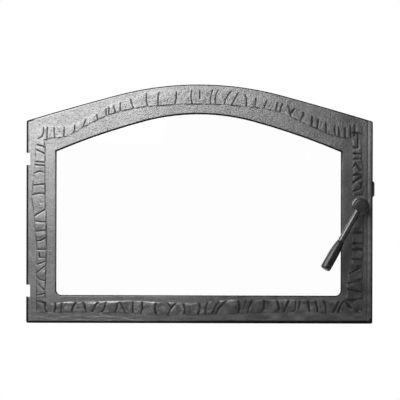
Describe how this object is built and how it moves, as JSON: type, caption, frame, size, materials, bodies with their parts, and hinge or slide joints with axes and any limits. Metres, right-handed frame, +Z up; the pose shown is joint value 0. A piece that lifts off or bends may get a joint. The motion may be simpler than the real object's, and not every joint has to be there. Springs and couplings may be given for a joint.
{
  "type": "fireplace insert door",
  "caption": "Arched cast-iron door for a fireplace insert, hung at its left edge, with a relief border, a clear window, a rope seal and a turning handle that works a latch.",
  "frame": {"origin": "on the back face of the lower hinge arm's foot, between its two screw holes, where the stove holds it", "axes": "+X to the right along the door's width, +Y from the front of the door to its back, +Z up"},
  "size_m": [0.6645, 0.0899, 0.4553],
  "materials": {
    "cast_iron": "satin stove paint on a fine sand-cast surface",
    "black_steel": "glossy black",
    "grip": "glossy black",
    "steel": "zinc plated",
    "bronze": "turned bronze",
    "rope": "braided glass fibre",
    "tape": "woven glass fibre",
    "glass": "clear glass ceramic"
  },
  "bodies": {
    "stove_side": {"hinge_arm_upper": "cast_iron", "hinge_arm_lower": "cast_iron", "hinge_washer_upper": "steel", "hinge_washer_lower": "steel"},
    "door": {"door_frame": "cast_iron", "glass_pane": "glass", "glass_gasket": "tape", "door_rope": "rope", "spindle_bush": "bronze", "hinge_pin_upper": "steel", "hinge_pin_lower": "steel", "glass_clip_1": "steel", "glass_clip_2": "steel", "glass_clip_3": "steel", "glass_clip_4": "steel", "glass_clip_5": "steel", "glass_clip_6": "steel", "glass_clip_7": "steel", "glass_clip_8": "steel", "glass_clip_screw_1": "steel", "glass_clip_screw_2": "steel", "glass_clip_screw_3": "steel", "glass_clip_screw_4": "steel", "glass_clip_screw_5": "steel", "glass_clip_screw_6": "steel", "glass_clip_screw_7": "steel", "glass_clip_screw_8": "steel"},
    "handle": {"handle_rosette": "black_steel", "handle_hub": "black_steel", "handle_hub_pin": "steel", "handle_rod": "black_steel", "handle_collar": "black_steel", "handle_grip": "grip", "latch_spindle": "steel", "latch_spring_washer": "steel", "latch_cam": "steel", "latch_washer": "steel", "latch_nut": "steel"}
  },
  "joints": [
    {"name": "door_hinge", "type": "hinge", "parent": "stove_side", "child": "door", "pos_m": [-0.0209, -0.0205, 0.1255], "axis": [0, 0, -1], "range_deg": [0, 110]},
    {"name": "handle_turn", "type": "hinge", "parent": "door", "child": "handle", "pos_m": [0.5991, -0.036, 0.1635], "axis": [0, -1, 0], "range_deg": [0, 45]}
  ]
}
